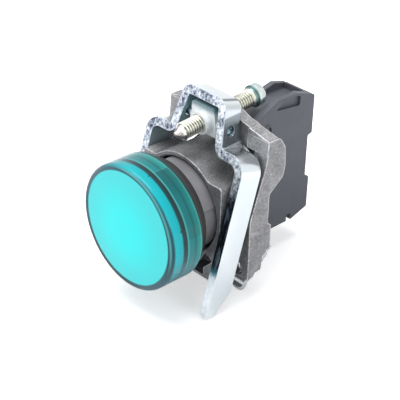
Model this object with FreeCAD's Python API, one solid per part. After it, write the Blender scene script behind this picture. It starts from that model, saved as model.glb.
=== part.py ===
import FreeCAD
import Part
import math
import os

# Panel pilot light, in millimetres. The origin is on the axis of the lamp, in the plane of
# the panel's front face, where the gasket ends. The lens looks along -Y, the wiring side is
# at +Y, +X is on the right hand of someone who looks at the lens, and +Z is up.

Vector = FreeCAD.Vector
ORIGIN = Vector(0, 0, 0)
AXIS_X = Vector(1, 0, 0)
AXIS_Y = Vector(0, 1, 0)
AXIS_Z = Vector(0, 0, 1)

# Lamp head
lens_radius = 14.65
lens_depth = 8.8
lens_dome = 0.7
lens_edge_radius = 1.2
lens_skirt = 1.2
lens_face = 1.3
diffuser_wall = 0.8
diffuser_depth = 2.3
seal_section = 0.55
flange_depth = 3.2
flange_thread_depth = 0.3
flange_thread_pitch = 1.0
flange_rim = 1.1
gasket_thickness = 3.05
gasket_lip = 1.9
gasket_groove = 0.35
nozzle_radius = 11.0
nozzle_wall = 1.5
nozzle_end_gap = 0.3
nozzle_groove_depth = 0.7
nozzle_chamfer = 0.4
nozzle_recess_depth = 0.35
nozzle_recess_start = 1.3
nozzle_recess_length = 6.0
nozzle_recess_angles = (-25.0, 155.0)
nozzle_recess_half_angle = 44.0
running_gap = 0.3

# Die-cast fixing collar
collar_front = 4.05
collar_bore_gap = 0.2
collar_mouth = 0.5
barrel_wall = 1.25
barrel_setback = 0.2
valley_radius = 1.5
nose_side = 0.15
chin_floor = 1.2
nose_top = 9.2
nose_edge_radius = 0.8
chin_inset = 0.6
chin_top = -10.6
frame_wall = 2.9
frame_front = 10.2
frame_bottom = -15.8
frame_knee = 0.0
frame_lean_top = 12.9
frame_lean_clearance = 0.601
arm_depth = 3.5
arm_ridge_rise = 1.6
arm_ridge_half_width = 7.0
arm_clearance = 1.6
arm_rear = 20.1
arm_front_lean = 0.35
arm_corner_radius = 2.0
arm_corner_length = 1.8
arm_corner_drop = 2.7
waist_depth = 1.05
waist_top = 4.9
waist_bottom = -2.5
waist_flare_rise = 5.6
waist_flare_foot = 3.0
heel_depth = 6.7
foot_toe = 1.9
heel_bottom = -9.6
heel_step = 1.15
heel_drops = (0.15, 0.9, 1.1, 2.6, 4.6)
web_rear = 12.4
screw_slot_half_width = 3.55
screw_slot_reach = 6.0
screw_slot_lead = 0.9
hub_rib_half_width = 9.6
hub_rib_rise = 1.35
hub_rib_peak_rise = 1.15
hub_rib_offset = 4.8
hub_rib_setback = 2.2
hub_rib_end = 0.5
chin_window_half_width = 7.7
chin_window_top = -12.35
chin_window_horn = 10.3
chin_lip = 0.6
locating_hole_radius = 1.75
locating_hole_x = 12.2
locating_hole_z = -13.6
locating_hole_depth = 4.0

# Sheet steel clamp bracket
strip_thickness = 2.1
strip_width = 6.1
bracket_tilt = 16.0
leg_clearance = 0.304
leg_inset = 0.25
leg_gap = 0.75
leg_end = -20.9
leg_taper_start = -15.2
leg_tip_width = 2.5
shoulder_height = 15.4
hump_base_half = 7.2
hump_top_half = 5.5
hump_height = 25.6
hump_width = 4.8
shoulder_bend = 3.1
hump_foot_bend = 1.9
hump_top_bend = 1.5
pivot_drop = 5.45
pivot_setback = 2.3
pivot_hole_radius = 1.15

# Nut plate and clamp screw
screw_radius = 2.0
screw_tilt = 4.3
screw_tip_reach = 9.35
screw_cone = 2.6
screw_tip_radius = 0.6
screw_length = 23.2
screw_neck = 1.4
screw_head_radius = 2.65
screw_head_height = 2.4
screw_head_edge = 0.7
screw_recess_width = 0.9
screw_recess_length = 3.4
screw_recess_depth = 1.4
nut_plate_thickness = 2.0
nut_plate_half_width = 4.0
nut_plate_gap = 0.4
nut_plate_bottom = 3.0
nut_boss_radius = 3.1
nut_boss_length = 1.5
nut_lug_radius = 0.9
thread_gap = 0.06

# Latch lever of sheet steel
lever_thickness = 1.15
lever_gap = 0.2
lever_ring_width = 1.6
lever_lug_angle = 22.0
lever_lug_count = 3
lever_ear_inset = 0.8
lever_ear_width = 4.5
lever_tooth_width = 2.8
lever_ear_top = -6.0
lever_tooth_end = -13.0
lever_lip_top = -16.8
lever_lip_drop = 1.1
lever_lip_end = -18.9
lever_lip_reach = 6.8
lever_tab_inset = 1.8
lever_tab_width = 3.2
lever_tab_radius = 0.9
lever_passage_turn = -40.0

# Light block
block_half_width = 5.0
cover_thickness = 1.4
block_gap = 1.5
block_step = 1.35
block_ridge_height = 19.3
block_rear_height = 17.3
block_ridge_setback = 7.1
block_ridge_slope = 6.0
block_top_front = 15.3
block_shoulder_depth = 2.9
block_shoulder_rise = 2.1
block_step_top = 7.35
block_step_bottom = -3.9
block_heel = -12.9
block_bottom_slope = 5.2
block_floor_setback = 3.4
block_front_bottom = -12.6
block_corner_radius = 0.8
channel_left = -3.6
channel_right = 3.1
channel_floor = 16.35
channel_floor_setback = 11.8
channel_front_floor = 15.9
channel_rear_wall = 1.6
left_wall_slope = 4.5
left_wall_height = 18.35
left_wall_drop = 2.0
ramp_setback = 1.3
ramp_slope = 4.4
ramp_depth = 0.9
side_recess_depth = 0.7
side_boss_setback = 4.1
side_boss_z = 12.9
side_boss_radius = 1.35
side_boss_height = 0.25
bottom_notch_width = 1.4
bottom_notch_height = 1.7
wire_slot_width = 2.9
wire_slot_length = 3.6
wire_slot_rib = 0.9
snout_radius = 6.0
snout_length = 2.2
snout_wall = 1.2
hook_inner = 2.5
hook_outer = 4.6
hook_thickness = 1.0
hook_catch = 0.8
hook_point = 3.0
hook_flat = 0.7
hook_end = 1.5
foot_left = -4.6
foot_width = 3.0
foot_thickness = 1.3
chamber_wall = 1.4
chamber_front_wall = 1.2
chamber_rear_wall = 2.7
chamber_roof = 0.55
chamber_sole = 1.45

# Screw terminals of the light block, one at the top and one at the bottom
terminal_cover = 1.5
terminal_floor = 2.55
terminal_side_wall = 0.15
terminal_room_depth = 10.0
terminal_rear_wall = 2.0
terminal_screw_radius = 1.6
terminal_head_radius = 2.35
terminal_head_height = 1.7
terminal_slot_width = 0.7
terminal_slot_depth = 0.9
terminal_shank = 5.4
terminal_lift = 2.1
driver_hole_radius = 2.75
clamp_washer_thickness = 0.9
clamp_washer_lip = 0.7
contact_strip_thickness = 1.0
contact_strip_setback = 2.6
contact_strip_side = 1.0
contact_strip_rim = 0.3
contact_strip_tail = 4.2
strip_passage_reach = 2.4

# Electronics
board_thickness = 0.9
board_x = -1.3
lamp_radius = 1.5
lamp_length = 4.2
lamp_rim = 0.4
lamp_flange_thickness = 0.8
cap_radius = 4.6
cap_wall = 0.6
cap_length = 8.4
cap_flange_thickness = 0.8
resistor_radius = 0.85
resistor_length = 4.6
resistor_end_rim = 0.12
resistor_end_length = 0.9
resistor_pitch = 2.6
resistor_setback = 1.6
resistor_base = 1.9
rectifier_size = 2.6
rectifier_height = 1.4
component_base = 2.4
component_gap = 1.2
component_end_gap = 1.4
capacitor_radius = 1.5
capacitor_length = 5.4
component_lead = 0.25

# Worked out from the sizes above
lens_rear = -gasket_thickness
nozzle_length = arm_rear - nozzle_end_gap
lens_front = lens_rear - lens_depth
lens_bore = lens_radius - lens_skirt
dome_radius = (lens_radius ** 2 + lens_dome ** 2) / (2 * lens_dome)
dome_centre = lens_front - lens_dome + dome_radius
flange_radius = lens_bore - running_gap
flange_front = lens_rear - flange_depth
nozzle_bore = nozzle_radius - nozzle_wall
gasket_radius = flange_radius
collar_bore = nozzle_radius + collar_bore_gap
barrel_radius = collar_bore + barrel_wall
heel_rear = frame_front + heel_depth
barrel_rear = heel_rear - barrel_setback
waist_rear = heel_rear - waist_depth
nose_half_width = barrel_radius + nose_side
leg_centre = nose_half_width + leg_gap + strip_thickness / 2
frame_half_width = leg_centre + strip_thickness / 2 + leg_inset
frame_inner = frame_half_width - frame_wall
chin_half_width = nose_half_width - chin_inset
lever_front = heel_rear + lever_gap
lever_rear = lever_front + lever_thickness
lever_inner = nozzle_radius + running_gap
lever_ear_outer = frame_half_width - lever_ear_inset
lever_ear_inner = lever_ear_outer - lever_ear_width
lever_ear_middle = lever_ear_outer - lever_tooth_width
lever_tab_right = frame_half_width - lever_tab_inset
lever_tab_left = lever_tab_right - lever_tab_width
lever_outer = lever_inner + lever_ring_width
lever_lip_front = heel_rear - lever_lip_reach
arm_underside = lever_outer + arm_clearance
arm_height = arm_underside + arm_depth
arm_ridge_height = arm_height + arm_ridge_rise
hub_rib_front = frame_front + hub_rib_offset
hub_rib_height = arm_height + hub_rib_rise
hub_rib_peak = arm_ridge_height + hub_rib_peak_rise
groove_radius = nozzle_radius - nozzle_groove_depth
block_front = arm_rear + block_gap
chamber_front = block_front + chamber_front_wall
rectifier_front = chamber_front + resistor_setback + resistor_length + component_gap - lever_gap
capacitor_front = rectifier_front + rectifier_size + component_gap
chamber_rear = capacitor_front + 2 * capacitor_radius + component_end_gap
block_rear = chamber_rear + chamber_rear_wall
block_bottom = -(lever_outer + running_gap + foot_thickness)
block_ridge_front = block_front + block_ridge_setback
block_ridge_rear = block_rear - block_ridge_slope
block_bottom_rear = block_rear - block_bottom_slope
block_floor_front = block_front + block_floor_setback
channel_floor_front = block_front + channel_floor_setback
channel_rear = block_rear - channel_rear_wall
left_wall_peak = block_rear - left_wall_slope
ramp_front = block_ridge_front + ramp_setback
ramp_rear = block_rear - ramp_slope
terminal_room_rear = block_rear - terminal_rear_wall
terminal_room_front = terminal_room_rear - terminal_room_depth
terminal_room_half = block_half_width - cover_thickness - terminal_side_wall
terminal_top_z = channel_floor - terminal_cover - terminal_room_half
terminal_bottom_z = block_bottom + terminal_floor + terminal_room_half
chamber_top = terminal_top_z - terminal_room_half - chamber_roof
chamber_bottom = terminal_bottom_z + terminal_room_half + chamber_sole
room_centres = (("upper", terminal_top_z), ("lower", terminal_bottom_z))
head_seat = terminal_room_rear - terminal_lift - terminal_head_height - running_gap
tilt = math.radians(bracket_tilt)
frame_lean = frame_lean_top * math.tan(tilt) + frame_lean_clearance
bracket_front = frame_front - leg_clearance - strip_width / math.cos(tilt)
pivot_height = hump_height - pivot_drop
nut_plate_top = pivot_drop - strip_thickness / 2 - nut_plate_gap
pivot = Vector(
    0,
    bracket_front + pivot_setback * math.cos(tilt) + pivot_height * math.sin(tilt),
    pivot_height * math.cos(tilt) - pivot_setback * math.sin(tilt),
)

screw_direction = Vector(0, math.cos(math.radians(screw_tilt)), math.sin(math.radians(screw_tilt)))


def screw_height(y):
    """Height of the clamp screw's axis at a distance y behind the panel plane."""
    return pivot.z + (y - pivot.y) * math.tan(math.radians(screw_tilt))


def box(x, y, z):
    """A block from three (low, high) pairs."""
    return Part.makeBox(x[1] - x[0], y[1] - y[0], z[1] - z[0], Vector(x[0], y[0], z[0]))


def rod(radius, y, x=0.0, z=0.0):
    """A cylinder along Y between the two values of y."""
    return Part.makeCylinder(radius, y[1] - y[0], Vector(x, y[0], z), AXIS_Y)


def join(first, *others):
    return first.fuse(list(others)).removeSplitter()


def cut(body, *tools):
    return body.cut(list(tools))


def rounded_wire(corners, place):
    """Closed wire through (u, v) or (u, v, radius) corners, with an arc at each radius."""
    starts, arcs, ends = [], [], []
    count = len(corners)
    for i, corner in enumerate(corners):
        here = Vector(corner[0], corner[1], 0)
        before = Vector(*corners[i - 1][:2], 0) - here
        after = Vector(*corners[(i + 1) % count][:2], 0) - here
        radius = corner[2] if len(corner) > 2 else 0
        if not radius:
            starts.append(here)
            arcs.append(None)
            ends.append(here)
            continue
        half = before.getAngle(after) / 2
        before.normalize()
        after.normalize()
        inward = (before + after).normalize()
        reach = radius / math.tan(half)
        starts.append(here + before * reach)
        arcs.append(here + inward * (radius / math.sin(half) - radius))
        ends.append(here + after * reach)
    edges = []
    for i in range(count):
        begin, finish = place(ends[i - 1]), place(starts[i])
        if begin.distanceToPoint(finish) > 1e-6:
            edges.append(Part.LineSegment(begin, finish).toShape())
        if arcs[i] is not None:
            edges.append(Part.Arc(finish, place(arcs[i]), place(ends[i])).toShape())
    return Part.Wire(edges)


def plate_yz(corners, x):
    """Outline of (y, z) corners, extruded along X between the two values of x."""
    wire = rounded_wire(corners, lambda p: Vector(x[0], p.x, p.y))
    return Part.Face(wire).extrude(Vector(x[1] - x[0], 0, 0))


def plate_xz(corners, y):
    """Outline of (x, z) corners, extruded along Y between the two values of y."""
    wire = rounded_wire(corners, lambda p: Vector(p.x, y[0], p.y))
    return Part.Face(wire).extrude(Vector(0, y[1] - y[0], 0))


def turned(corners):
    """Outline of (radius, y) corners, turned about the Y axis."""
    wire = rounded_wire(corners, lambda p: Vector(p.x, p.y, 0))
    return Part.Face(wire).revolve(ORIGIN, AXIS_Y, 360)


def round_edges(body, radius, wanted):
    """Fillet the edges for which wanted(edge) is true."""
    edges = [edge for edge in body.Edges if wanted(edge)]
    return body.makeFillet(radius, edges) if edges else body


def domed_disc(radius, inset, y_rear):
    """A disc with a shallow dome in front, inset from the lens's own dome."""
    front = lens_front - lens_dome - 1
    disc = rod(radius, (front, y_rear))
    sphere = Part.makeSphere(dome_radius - inset, Vector(0, dome_centre, 0))
    return disc.common(sphere)


def lens_cap():
    """Translucent cap that screws over the flange of the head."""
    body = domed_disc(lens_radius, 0, lens_rear)
    front_edge = lens_front + lens_edge_radius
    body = round_edges(
        body, lens_edge_radius,
        lambda e: e.BoundBox.YMax < front_edge and e.BoundBox.XLength > lens_radius)
    hollow = domed_disc(lens_bore, lens_face, lens_rear + 1)
    return cut(body, hollow)


def diffuser():
    """Milky cup just behind the lens's face."""
    inset = lens_face + running_gap
    radius = lens_bore - running_gap
    rim = lens_front + lens_face + running_gap + diffuser_depth
    outside = domed_disc(radius, inset, rim)
    inside = domed_disc(radius - diffuser_wall, inset + diffuser_wall, rim + 1)
    return cut(outside, inside)


def lens_seal():
    """O-ring on the front of the head's flange."""
    centre = Vector(0, flange_front - seal_section, 0)
    return Part.makeTorus(flange_radius - seal_section, seal_section, centre, AXIS_Y)


def head_body():
    """Flange with a lens thread, and the nozzle that goes through the panel."""
    groove = (lever_front - running_gap, lever_rear + running_gap)
    thread = []
    turns = int((flange_depth - flange_rim) / flange_thread_pitch)
    for i in range(turns):
        y = flange_front + flange_rim / 2 + (i + 0.5) * flange_thread_pitch
        half = flange_thread_pitch / 4
        root = flange_radius - flange_thread_depth
        thread += [(flange_radius, y - half), (root, y - half / 2)]
        thread += [(root, y + half / 2), (flange_radius, y + half)]
    corners = [(flange_radius - flange_rim, flange_front), (flange_radius, flange_front)]
    corners += thread
    corners += [
        (flange_radius, lens_rear), (nozzle_radius, lens_rear),
        (nozzle_radius, groove[0]), (groove_radius, groove[0]),
        (groove_radius, groove[1]), (nozzle_radius, groove[1]),
        (nozzle_radius, nozzle_length - nozzle_chamfer),
        (nozzle_radius - nozzle_chamfer, nozzle_length), (nozzle_bore, nozzle_length),
        (nozzle_bore, lens_rear - flange_rim),
        (flange_radius - flange_rim, lens_rear - flange_rim - nozzle_wall),
    ]
    body = turned(corners)
    cuts = []
    passage = math.radians(lever_lug_angle / 2) + 2 * lever_gap / nozzle_radius
    for i in range(lever_lug_count):
        angle = math.radians(90 + lever_passage_turn + 360 * i / lever_lug_count)
        cuts.append(sector(groove_radius, nozzle_radius + 1, angle, passage,
                           (groove[1] - 0.5, nozzle_length + 1)))
    recess = (nozzle_recess_start, nozzle_recess_start + nozzle_recess_length)
    for centre in nozzle_recess_angles:
        cuts.append(sector(nozzle_radius - nozzle_recess_depth, nozzle_radius + 1,
                           math.radians(centre), math.radians(nozzle_recess_half_angle), recess))
    return cut(body, *cuts)


def sector(inner, outer, angle, half, y):
    """A piece of a ring between two radii, half an angle each side of its middle."""
    def at(radius, turn):
        return Vector(radius * math.cos(turn), y[0], radius * math.sin(turn))
    low, high = angle - half, angle + half
    wire = Part.Wire([
        Part.Arc(at(outer, low), at(outer, angle), at(outer, high)).toShape(),
        Part.LineSegment(at(outer, high), at(inner, high)).toShape(),
        Part.Arc(at(inner, high), at(inner, angle), at(inner, low)).toShape(),
        Part.LineSegment(at(inner, low), at(outer, low)).toShape(),
    ])
    return Part.Face(wire).extrude(Vector(0, y[1] - y[0], 0))


def panel_gasket():
    """Rubber ring between the flange and the panel, with a groove between its two lips."""
    inner = nozzle_radius + thread_gap
    middle = lens_rear + gasket_thickness - gasket_lip
    rear_lip = gasket_radius - gasket_groove
    return turned([
        (inner, lens_rear), (gasket_radius, lens_rear),
        (gasket_radius, middle - gasket_groove, gasket_groove / 2),
        (rear_lip - gasket_groove, middle), (rear_lip, middle + gasket_groove),
        (rear_lip, 0, gasket_groove), (inner, 0),
    ])


def frame_side_outline():
    """Side view of the collar's rear frame, as (y, z, radius) corners."""
    lean_rear = frame_front + frame_lean
    arm_front = lean_rear + arm_front_lean
    middle = heel_rear - heel_step
    low = heel_rear - 2 * heel_step
    toe = frame_front + foot_toe
    d = [heel_bottom - drop for drop in heel_drops]
    return [
        (frame_front, frame_bottom, 0.3), (frame_front, frame_knee, 3.0),
        (lean_rear, frame_lean_top, 6.0), (arm_front, arm_height, 0.5),
        (arm_rear - arm_corner_length, arm_height, 1.2),
        (arm_rear, arm_height - arm_corner_drop, arm_corner_radius),
        (arm_rear + 0.3, waist_top + waist_flare_rise, 2.0),
        (arm_rear - 0.3, waist_top + waist_flare_foot, 1.0),
        (waist_rear, waist_top, 1.2), (waist_rear, waist_bottom, 0.3),
        (heel_rear, waist_bottom - 0.8, 0.3), (heel_rear, heel_bottom, 0.2),
        (middle + 0.1, d[0]), (middle, d[1]), (low, d[2], 0.2), (low, d[3], 0.3),
        (low - 0.3, d[4], 0.3), (toe + 0.3, d[4] - 0.2), (toe, d[4] - 0.9, 0.3),
    ]


def screw_slot():
    """U-shaped way for the clamp screw and its head through the top of the collar."""
    start = hub_rib_front - screw_slot_lead
    round_part = Part.makeCylinder(
        screw_slot_half_width, arm_rear + screw_slot_reach - start,
        Vector(0, start, screw_height(start)), screw_direction)
    open_part = box(
        (-screw_slot_half_width, screw_slot_half_width), (start, arm_rear + screw_slot_reach),
        (screw_height(arm_rear), hub_rib_peak + 1))
    return round_part.fuse(open_part)


def both_sides(right):
    """Closed row of (x, z, radius) corners from those on the right."""
    return right + [(-corner[0], *corner[1:]) for corner in reversed(right)]


def chin_window():
    """Pocket in the underside of the nose, with a raised corner on each side."""
    half = chin_window_half_width
    low = frame_bottom + chin_lip
    right = [
        (half, low), (half, low + 2.1), (chin_window_horn, chin_top + 0.1),
        (chin_window_horn - 0.3, chin_top + 0.9), (half + 0.3, chin_top + 1.5),
        (half - 1.6, chin_window_top),
    ]
    return plate_xz(both_sides(right), (collar_front - 1, frame_front - chin_floor))


def collar():
    """Zinc casting: barrel and nose in front, open frame with two side walls behind."""
    nose = plate_xz([
        (-nose_half_width, nose_top, nose_edge_radius), (nose_half_width, nose_top, nose_edge_radius),
        (nose_half_width, chin_top + 1.2, 0.5), (chin_half_width, chin_top, 0.5),
        (chin_half_width, frame_bottom, 0.5), (-chin_half_width, frame_bottom, 0.5),
        (-chin_half_width, chin_top, 0.5), (-nose_half_width, chin_top + 1.2, 0.5),
    ], (collar_front, web_rear - 0.5))
    front = nose.fuse(rod(barrel_radius, (collar_front, barrel_rear)))
    front = round_edges(front, valley_radius, is_valley_edge)
    frame = plate_yz(frame_side_outline(), (-frame_half_width, frame_half_width))
    inside = (-frame_inner, frame_inner)
    frame = cut(
        frame,
        box(inside, (web_rear, arm_rear + 1), (frame_bottom - 1, arm_underside)),
        box(inside, (frame_front - 1, web_rear + 0.1), (nose_top, arm_underside)),
    )
    rib_rear = arm_rear - hub_rib_setback
    behind_hump = box(
        (-hump_base_half - strip_thickness, hump_base_half + strip_thickness),
        (frame_front, hub_rib_front), (arm_underside - 1, hub_rib_peak + 1))
    roof = both_sides([
        (frame_half_width, arm_underside), (frame_half_width, arm_height, 0.3),
        (arm_ridge_half_width, arm_ridge_height),
    ])
    rib = both_sides([
        (hub_rib_half_width + hub_rib_end, arm_underside),
        (hub_rib_half_width + hub_rib_end, hub_rib_height - hub_rib_end),
        (hub_rib_half_width, hub_rib_height, 0.4),
        (arm_ridge_half_width, arm_ridge_height + 0.15), (screw_slot_half_width + 1.0, hub_rib_peak, 0.6),
    ])
    frame = frame.fuse(plate_xz(roof, (frame_front + frame_lean + 0.4, rib_rear)))
    body = join(front, cut(frame, behind_hump), plate_xz(rib, (hub_rib_front, rib_rear)))
    mouth = Part.makeCone(
        collar_bore + collar_mouth, collar_bore, collar_mouth,
        Vector(0, collar_front, 0), AXIS_Y)
    locating = [
        rod(locating_hole_radius, (frame_front - 1, frame_front + locating_hole_depth),
            x=side * locating_hole_x, z=locating_hole_z)
        for side in (-1, 1)]
    hook_notches = [
        box(hook_span(side, lever_gap),
            (arm_rear - hook_point - running_gap, arm_rear - hook_end + running_gap),
            (arm_underside - 1, arm_underside + hook_catch + lever_gap))
        for side in (-1, 1)]
    foot_pocket = box(
        (foot_left - lever_gap, foot_left + foot_width + lever_gap),
        (frame_front + 0.5, web_rear + 1),
        (block_bottom - lever_gap, block_bottom + foot_thickness + lever_gap))
    return cut(
        body, rod(collar_bore, (collar_front - 1, arm_rear + 2)), mouth, chin_window(),
        screw_slot(), foot_pocket, *hook_notches, *locating)


def is_valley_edge(edge):
    """The two lines where the top of the nose meets the barrel."""
    limits = edge.BoundBox
    on_top = abs(limits.ZMin - nose_top) < 0.01 and limits.ZLength < 0.01
    return on_top and limits.YLength > 5 and abs(limits.XMin) < nose_half_width - 1


def hook_span(side, gap=0.0):
    """Values of x between which one hook of the light block lies."""
    ends = (side * (hook_inner - gap), side * (hook_outer + gap))
    return min(ends), max(ends)


def strip_outline(line, thickness):
    """Outline of a bent strip about a centre line of (u, v, radius) corners."""
    sides = []
    for side in (1, -1):
        corners = []
        for i, (u, v, radius) in enumerate(line):
            here = Vector(u, v, 0)
            ahead = Vector(*line[i + 1][:2], 0) - here if i + 1 < len(line) else None
            back = here - Vector(*line[i - 1][:2], 0) if i else None
            run_in = (back or ahead).normalize()
            run_out = (ahead or back).normalize()
            normal_in = Vector(-run_in.y, run_in.x, 0)
            normal_out = Vector(-run_out.y, run_out.x, 0)
            mitre = (normal_in + normal_out) * (1 / (1 + normal_in.dot(normal_out)))
            place = here + mitre * (side * thickness / 2)
            turn = run_in.x * run_out.y - run_in.y * run_out.x
            bend = 0
            if back and ahead:
                bend = max(0, radius - math.copysign(thickness / 2, turn) * side)
            corners.append((place.x, place.y, bend))
        sides.append(corners)
    return sides[0] + sides[1][::-1]


def in_bracket_plane(body):
    """Lean a body that was built upright about the foot of the bracket's front face."""
    body.rotate(Vector(0, bracket_front, 0), AXIS_X, -bracket_tilt)
    return body


def clamp_bracket():
    """Hat-shaped steel strip: two legs, two shoulders and the hump round the nut plate."""
    foot_slope = (hump_base_half - hump_top_half) / (hump_height - shoulder_height)
    half_line = [
        (leg_centre, leg_end, 0), (leg_centre, shoulder_height, shoulder_bend),
        (hump_base_half + foot_slope, shoulder_height, hump_foot_bend),
        (hump_top_half, hump_height, hump_top_bend),
    ]
    line = half_line + [(-u, v, radius) for u, v, radius in reversed(half_line)]
    front, rear = bracket_front, bracket_front + strip_width
    strip = plate_xz(strip_outline(line, strip_thickness), (front, rear))
    span = (-frame_half_width - 1, frame_half_width + 1)
    taper = plate_yz([
        (rear + 1, leg_end - 1), (front + leg_tip_width, leg_end - 1),
        (front + leg_tip_width, leg_end), (rear, leg_taper_start), (rear + 1, leg_taper_start),
    ], span)
    tip = plate_yz([
        (front - 1, leg_end - 1), (front + leg_tip_width + 1, leg_end - 1),
        (front + leg_tip_width + 1, leg_end - 0.1), (front - 1, leg_end + 0.45),
    ], span)
    hump_rear = plate_yz([
        (front + hump_width, hump_height + 3), (front + hump_width, shoulder_height + 3.5, 1.5),
        (rear + 1, shoulder_height + 1.6), (rear + 1, hump_height + 3),
    ], span)
    pivot_hole = Part.makeCylinder(
        pivot_hole_radius, 4 * hump_base_half,
        Vector(-2 * hump_base_half, front + pivot_setback, pivot_height), AXIS_X)
    return in_bracket_plane(cut(strip, taper, tip, hump_rear, pivot_hole))


def tilted(body):
    """Turn a body built along Y at the pivot to the clamp screw's own slope."""
    body.rotate(pivot, AXIS_X, screw_tilt)
    return body


def nut_plate():
    """Threaded plate with a drawn boss, swivelling on two lugs in the hump's walls."""
    front = pivot.y - nut_plate_thickness / 2
    rear = pivot.y + nut_plate_thickness / 2
    top = pivot.z + nut_plate_top
    bottom = pivot.z - nut_plate_bottom
    narrow = nut_plate_half_width - 0.5
    plate = plate_xz([
        (-nut_plate_half_width, bottom, 0.5), (nut_plate_half_width, bottom, 0.5),
        (narrow, top, 0.8), (-narrow, top, 0.8),
    ], (front, rear))
    boss = Part.makeCone(
        nut_boss_radius, nut_boss_radius - 0.4, nut_boss_length,
        Vector(0, front, pivot.z), Vector(0, -1, 0))
    lug_reach = hump_base_half - 0.3
    lug = Part.makeCylinder(
        nut_lug_radius, 2 * lug_reach, Vector(-lug_reach, pivot.y, pivot.z), AXIS_X)
    hole = rod(screw_radius + thread_gap, (front - nut_boss_length - 1, rear + 1), z=pivot.z)
    return tilted(cut(join(plate, boss, lug), hole))


def clamp_screw():
    """Screw with a cone point in front and a recessed cheese head behind."""
    tip = pivot.y - screw_tip_reach
    seat = tip + screw_length
    end = seat + screw_head_height
    shank = turned([
        (0, tip), (screw_tip_radius, tip, 0), (screw_radius, tip + screw_cone),
        (screw_radius, seat - screw_neck), (screw_radius + 0.35, seat - 0.3),
        (screw_radius + 0.35, seat), (screw_head_radius, seat, 0.25),
        (screw_head_radius, end, screw_head_edge), (0, end),
    ])
    half = screw_recess_width / 2
    reach = screw_recess_length / 2
    depth = (end - screw_recess_depth, end + 1)
    recess = [box((-half, half), depth, (-reach, reach)), box((-reach, reach), depth, (-half, half))]
    body = cut(shank, *recess)
    body.translate(Vector(0, 0, pivot.z))
    return tilted(body)


def latch_lever():
    """Steel ring behind the collar, with lugs in the nozzle's groove and a stepped handle."""
    depth = (lever_front, lever_rear)
    ring = cut(rod(lever_outer, depth), rod(lever_inner, (depth[0] - 1, depth[1] + 1)))
    middle = (lever_front + lever_rear) / 2
    low = middle - 2 * heel_step
    line = [
        (middle, lever_ear_top, 0), (middle, heel_bottom - 0.5, 0),
        (middle - heel_step, heel_bottom - 1.2, 0), (middle - heel_step, heel_bottom - 2.0, 0),
        (low, heel_bottom - 2.7, 0), (low, lever_tooth_end - 0.1, 0),
        (low - 1.8, lever_tooth_end - 1.5, 0), (low - 1.8, lever_lip_top + 0.7, 0),
        (low - 3.8, lever_lip_top - lever_lip_drop + 0.5, 0.7), (low - 4.1, lever_lip_end + 0.6, 0.7),
        (lever_lip_front, lever_lip_end, 0),
    ]
    handle = plate_yz(strip_outline(line, lever_thickness), (lever_ear_inner, lever_ear_outer))
    depth_range = (lever_lip_front - 2, lever_rear + 1)
    handle = cut(
        handle,
        box((lever_ear_middle, lever_ear_outer + 1), depth_range, (lever_lip_top, lever_tooth_end)),
        box((lever_outer, lever_ear_outer + 1), depth_range, (heel_bottom - 0.3, 0)),
        box((lever_tab_right, lever_ear_outer + 1), depth_range, (lever_lip_end - 2, lever_lip_top)),
        box((0, lever_tab_left), depth_range, (lever_lip_end - 2, lever_lip_top)),
    )
    handle = round_edges(handle, lever_tab_radius, is_tab_corner)
    lugs = [
        sector(groove_radius + running_gap, lever_inner + 0.2,
               math.radians(90 + 360 * i / lever_lug_count), math.radians(lever_lug_angle / 2), depth)
        for i in range(lever_lug_count)]
    return join(ring, handle, *lugs)


def is_tab_corner(edge):
    """The two short upright edges at the front of the handle's lip."""
    limits = edge.BoundBox
    straight = limits.XLength < 0.01 and edge.Length < 1.5 * lever_thickness
    return straight and limits.YMax < lever_lip_front + 0.6 and limits.ZMax < lever_lip_end + 1


def block_outline():
    """Side view of the light block, as (y, z, radius) corners."""
    inner = block_rear - block_step
    r = block_corner_radius
    return [
        (block_front, block_front_bottom, r), (block_front, block_top_front, r),
        (block_front + block_shoulder_depth, block_top_front + block_shoulder_rise, r),
        (block_ridge_front, block_ridge_height, r), (block_ridge_rear, block_ridge_height, 1.2),
        (block_rear, block_rear_height, r), (block_rear, block_step_top, 0.3),
        (inner, block_step_top - 0.4, 0.3), (inner, block_step_bottom, 0.3),
        (block_rear, block_step_bottom - 0.6, 0.6), (block_rear, block_heel, 0.4),
        (block_bottom_rear, block_bottom, 0.4), (block_floor_front, block_bottom, 0.8),
    ]


def driver_channel():
    """Channel in the top for the clamp screw's head and the screwdriver that turns it."""
    channel = plate_yz([
        (block_front - 1, channel_front_floor), (channel_floor_front - 3, channel_front_floor),
        (channel_floor_front, channel_floor), (channel_rear, channel_floor),
        (channel_rear, block_ridge_height + 1), (block_front - 1, block_ridge_height + 1),
    ], (channel_left, channel_right))
    low_wall = plate_yz([
        (block_front - 1, left_wall_height - left_wall_drop),
        (channel_floor_front - 5, left_wall_height - left_wall_drop),
        (left_wall_peak, left_wall_height), (block_rear, block_rear_height - 0.2),
        (block_rear, block_ridge_height + 1), (block_front - 1, block_ridge_height + 1),
    ], (-block_half_width - 1, channel_left + 0.1))
    ramp = plate_yz([
        (ramp_front, block_ridge_height - ramp_depth, 0.4), (ramp_rear, block_ridge_height),
        (ramp_rear, block_ridge_height + 1), (ramp_front, block_ridge_height + 1),
    ], (channel_right - 0.1, block_half_width - cover_thickness))
    return [channel, low_wall, ramp]


def terminal_room(z):
    """Square room of one screw terminal, with its round screwdriver hole."""
    half = terminal_room_half
    room = box((-half, half), (terminal_room_front, terminal_room_rear), (z - half, z + half))
    hole = rod(driver_hole_radius, (terminal_room_rear - 1, block_rear + 1), z=z)
    return [room, hole]


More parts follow.
